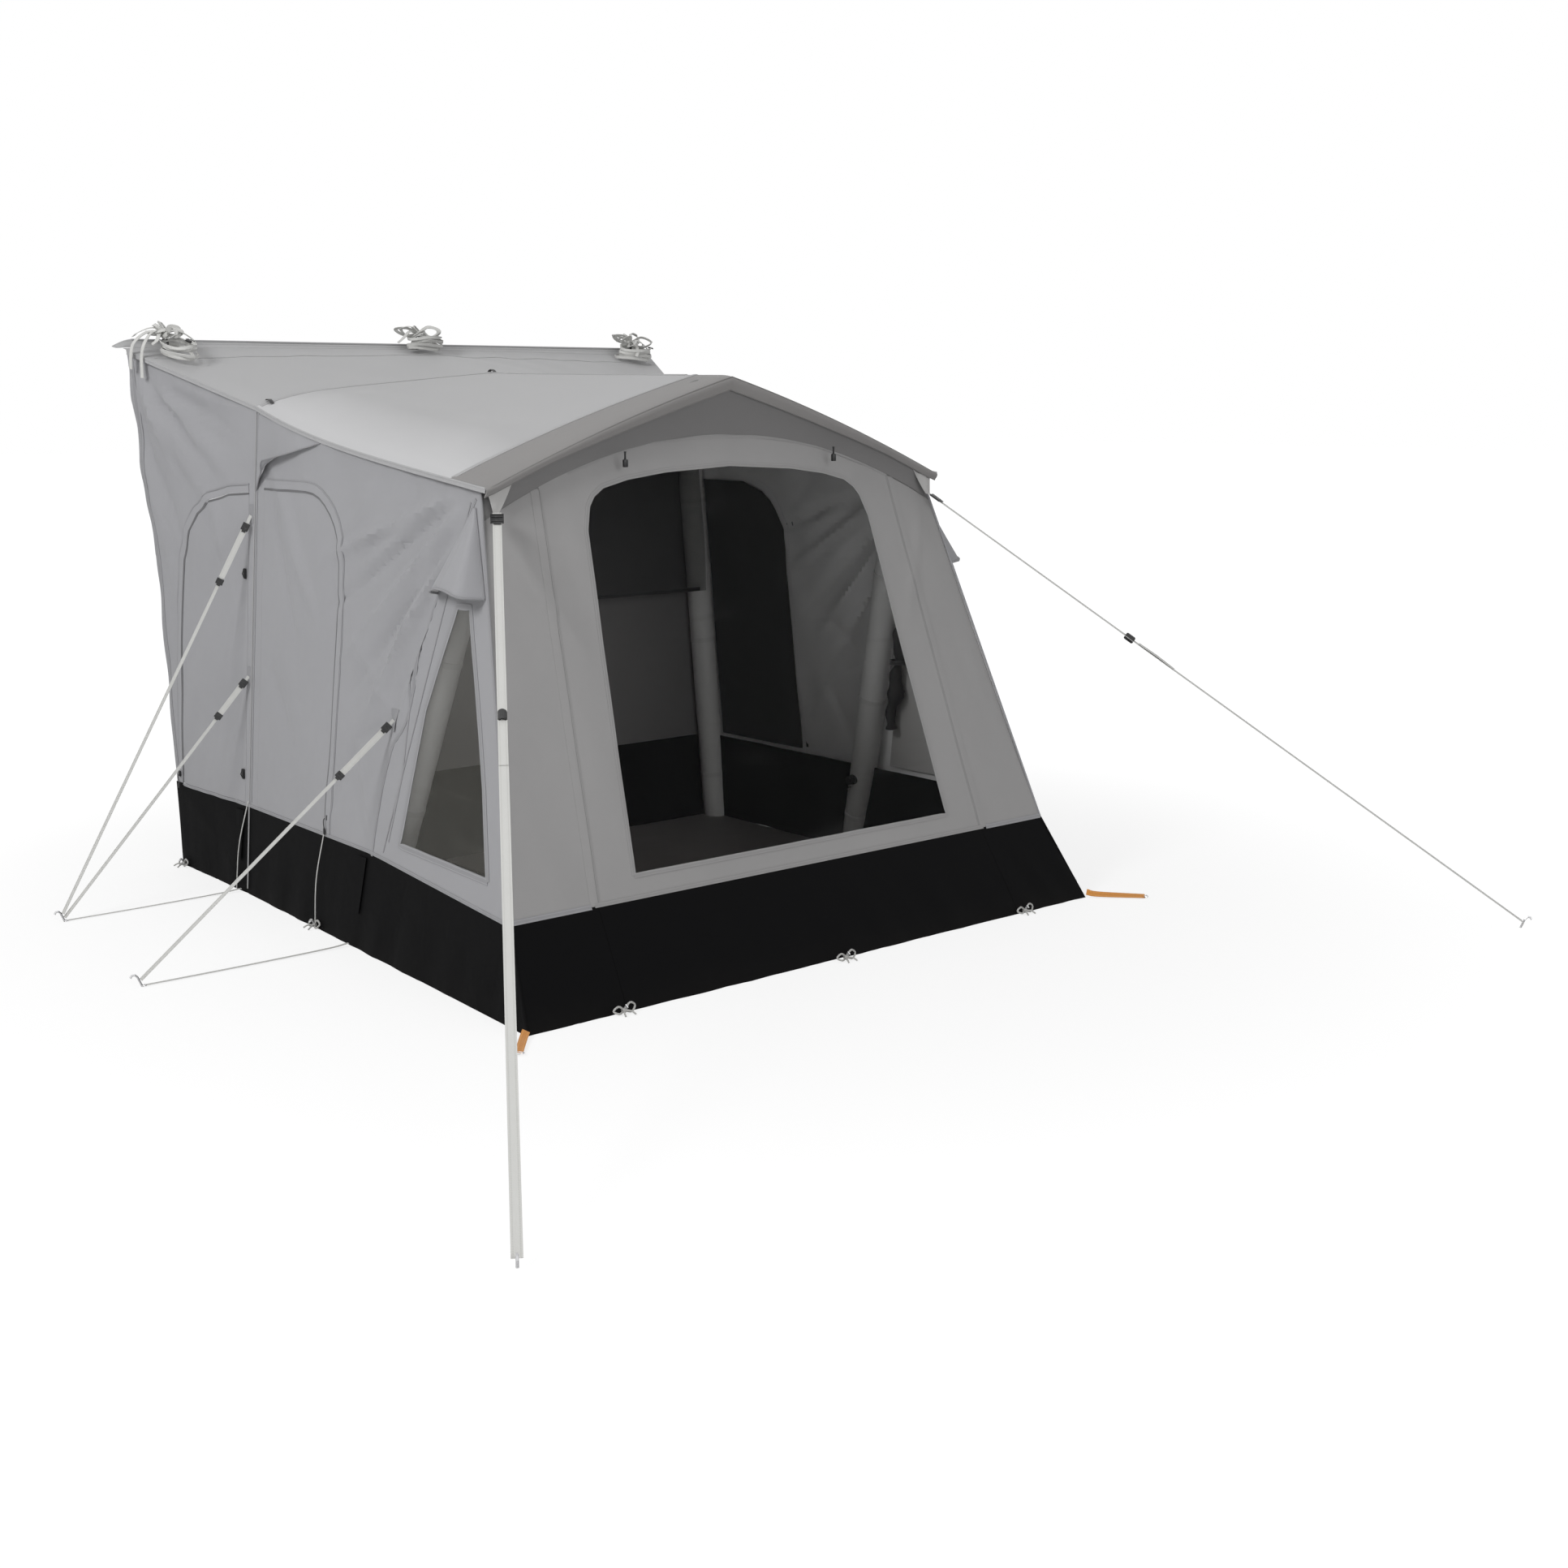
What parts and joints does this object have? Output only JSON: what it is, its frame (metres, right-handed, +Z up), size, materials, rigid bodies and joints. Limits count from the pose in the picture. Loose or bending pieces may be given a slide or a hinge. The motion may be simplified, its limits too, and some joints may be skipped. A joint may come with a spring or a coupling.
{
  "type": "driveaway awning",
  "caption": "Free-standing inflatable driveaway awning: air hoops carry a pitched roof, windowed walls with zip doors and a tunnel that reaches to a vehicle rail.",
  "frame": {"origin": "a point of the groundsheet's lower face, on the ground in the symmetry plane, midway between the front skirt line and the rear cabin seam", "axes": "+X to the right seen from the front, +Y towards the vehicle, +Z up; the front window looks along -Y"},
  "size_m": [4.4456, 4.2339, 2.2012],
  "materials": {
    "canopy_sleeve": "coated woven polyester",
    "corner_gusset_left": "coated woven polyester",
    "corner_gusset_right": "coated woven polyester",
    "door_slider_left": "moulded",
    "door_slider_right": "moulded",
    "eave_gusset_left": "coated woven polyester",
    "eave_gusset_right": "coated woven polyester",
    "front_air_hoop": "tight woven sleeve over an air bladder",
    "front_guy_left": "woven webbing",
    "front_guy_right": "woven webbing",
    "front_panel": "coated woven polyester",
    "front_peg_left": "plated rod",
    "front_peg_right": "plated rod",
    "front_skirt": "coated mud skirt",
    "front_wall": "coated woven polyester",
    "front_window": "clear flexible film",
    "groundsheet": "coated groundsheet",
    "guy_runner_left": "moulded",
    "guy_runner_right": "moulded",
    "inflation_valve": "fine texture",
    "keder_strip": "folded webbing with a beaded edge",
    "lower_guy_left": "woven webbing",
    "lower_guy_right": "woven webbing",
    "mesh_curtain": "fine dark mesh",
    "mid_peg_left": "plated rod",
    "mid_peg_right": "plated rod",
    "middle_guy_left": "woven webbing",
    "middle_guy_right": "woven webbing",
    "rain_hood_left": "coated woven polyester",
    "rain_hood_right": "coated woven polyester",
    "rear_air_hoop": "tight woven sleeve over an air bladder",
    "rear_door": "light inner cloth",
    "rear_peg_left": "plated rod",
    "rear_peg_right": "plated rod",
    "rear_wall": "light inner cloth",
    "ridge_air_brace": "tight woven sleeve over an air bladder",
    "roof_panel": "coated woven polyester",
    "side_door_left": "coated woven polyester",
    "side_door_right": "coated woven polyester",
    "side_skirt_left": "coated mud skirt",
    "side_skirt_right": "coated mud skirt",
    "side_wall_left": "coated woven polyester",
    "side_wall_right": "coated woven polyester",
    "side_window_left": "clear flexible film",
    "side_window_right": "clear flexible film",
    "strap_hank_centre": "woven webbing",
    "strap_hank_left": "woven webbing",
    "strap_hank_right": "woven webbing",
    "tunnel_door_left": "coated woven polyester",
    "tunnel_door_right": "coated woven polyester",
    "tunnel_roof": "coated woven polyester",
    "tunnel_slider_left": "moulded",
    "tunnel_slider_right": "moulded",
    "tunnel_wall_left": "coated woven polyester",
    "tunnel_wall_right": "coated woven polyester",
    "upper_guy_left": "woven webbing",
    "upper_guy_right": "woven webbing",
    "valve_cap": "fine texture"
  },
  "bodies": {
    "cabin": {"canopy_sleeve": "canopy_sleeve", "corner_gusset_left": "corner_gusset_left", "corner_gusset_right": "corner_gusset_right", "eave_gusset_left": "eave_gusset_left", "eave_gusset_right": "eave_gusset_right", "front_air_hoop": "front_air_hoop", "front_guy_left": "front_guy_left", "front_guy_right": "front_guy_right", "front_peg_left": "front_peg_left", "front_peg_right": "front_peg_right", "front_wall": "front_wall", "groundsheet": "groundsheet", "inflation_valve": "inflation_valve", "keder_strip": "keder_strip", "lower_guy_left": "lower_guy_left", "lower_guy_right": "lower_guy_right", "mesh_curtain": "mesh_curtain", "mid_peg_left": "mid_peg_left", "mid_peg_right": "mid_peg_right", "middle_guy_left": "middle_guy_left", "middle_guy_right": "middle_guy_right", "rain_hood_left": "rain_hood_left", "rain_hood_right": "rain_hood_right", "rear_air_hoop": "rear_air_hoop", "rear_peg_left": "rear_peg_left", "rear_peg_right": "rear_peg_right", "rear_wall": "rear_wall", "ridge_air_brace": "ridge_air_brace", "roof_panel": "roof_panel", "side_skirt_left": "side_skirt_left", "side_skirt_right": "side_skirt_right", "side_wall_left": "side_wall_left", "side_wall_right": "side_wall_right", "side_window_left": "side_window_left", "side_window_right": "side_window_right", "strap_hank_centre": "strap_hank_centre", "strap_hank_left": "strap_hank_left", "strap_hank_right": "strap_hank_right", "tunnel_roof": "tunnel_roof", "tunnel_wall_left": "tunnel_wall_left", "tunnel_wall_right": "tunnel_wall_right", "upper_guy_left": "upper_guy_left", "upper_guy_right": "upper_guy_right"},
    "front_panel": {"front_panel": "front_panel", "front_window": "front_window", "front_skirt": "front_skirt"},
    "rear_door": {"rear_door": "rear_door"},
    "valve_cap": {"valve_cap": "valve_cap"},
    "side_door_right": {"side_door_right": "side_door_right"},
    "tunnel_door_right": {"tunnel_door_right": "tunnel_door_right"},
    "guy_runner_right": {"guy_runner_right": "guy_runner_right"},
    "door_slider_right": {"door_slider_right": "door_slider_right"},
    "tunnel_slider_right": {"tunnel_slider_right": "tunnel_slider_right"},
    "side_door_left": {"side_door_left": "side_door_left"},
    "tunnel_door_left": {"tunnel_door_left": "tunnel_door_left"},
    "guy_runner_left": {"guy_runner_left": "guy_runner_left"},
    "door_slider_left": {"door_slider_left": "door_slider_left"},
    "tunnel_slider_left": {"tunnel_slider_left": "tunnel_slider_left"}
  },
  "joints": [
    {"name": "front_panel_roll", "type": "hinge", "parent": "cabin", "child": "front_panel", "pos_m": [0, -0.46342, 1.8], "axis": [-1, 0, 0], "range_deg": [0, 40]},
    {"name": "rear_door_swing", "type": "hinge", "parent": "cabin", "child": "rear_door", "pos_m": [-0.5, 1.096, 0.9], "axis": [0, 0, 1], "range_deg": [0, 80]},
    {"name": "side_door_swing_right", "type": "hinge", "parent": "cabin", "child": "side_door_right", "pos_m": [1.11905, 1.03, 0.95], "axis": [-0.0816, 0, 0.9967], "range_deg": [0, 75]},
    {"name": "tunnel_door_swing_right", "type": "hinge", "parent": "cabin", "child": "tunnel_door_right", "pos_m": [1.12471, 1.135, 0.95], "axis": [-0.0721, 0, 0.9974], "range_deg": [-65, 0]},
    {"name": "runner_slide_right", "type": "slide", "parent": "cabin", "child": "guy_runner_right", "axis": [0.4395, -0.7029, -0.5593], "range_m": [-0.3, 0.6]},
    {"name": "door_zip_right", "type": "slide", "parent": "cabin", "child": "door_slider_right", "axis": [-0.114, 0, 0.9935], "range_m": [0, 0.55]},
    {"name": "tunnel_zip_right", "type": "slide", "parent": "cabin", "child": "tunnel_slider_right", "axis": [0.0033, -0.1406, 0.9901], "range_m": [0, 0.45]},
    {"name": "side_door_swing_left", "type": "hinge", "parent": "cabin", "child": "side_door_left", "pos_m": [-1.11905, 1.03, 0.95], "axis": [0.0816, 0, 0.9967], "range_deg": [-75, 0]},
    {"name": "tunnel_door_swing_left", "type": "hinge", "parent": "cabin", "child": "tunnel_door_left", "pos_m": [-1.12471, 1.135, 0.95], "axis": [0.0721, 0, 0.9974], "range_deg": [0, 65]},
    {"name": "runner_slide_left", "type": "slide", "parent": "cabin", "child": "guy_runner_left", "axis": [-0.4395, -0.7029, -0.5593], "range_m": [-0.3, 0.6]},
    {"name": "door_zip_left", "type": "slide", "parent": "cabin", "child": "door_slider_left", "axis": [0.114, 0, 0.9935], "range_m": [0, 0.55]},
    {"name": "tunnel_zip_left", "type": "slide", "parent": "cabin", "child": "tunnel_slider_left", "axis": [-0.0033, -0.1406, 0.9901], "range_m": [0, 0.45]},
    {"name": "valve_cap_turn", "type": "hinge", "parent": "cabin", "child": "valve_cap", "pos_m": [1.04889, 0.00207, 0.33537], "axis": [-0.9895, 0, -0.1444], "range_deg": [0, 90]}
  ]
}
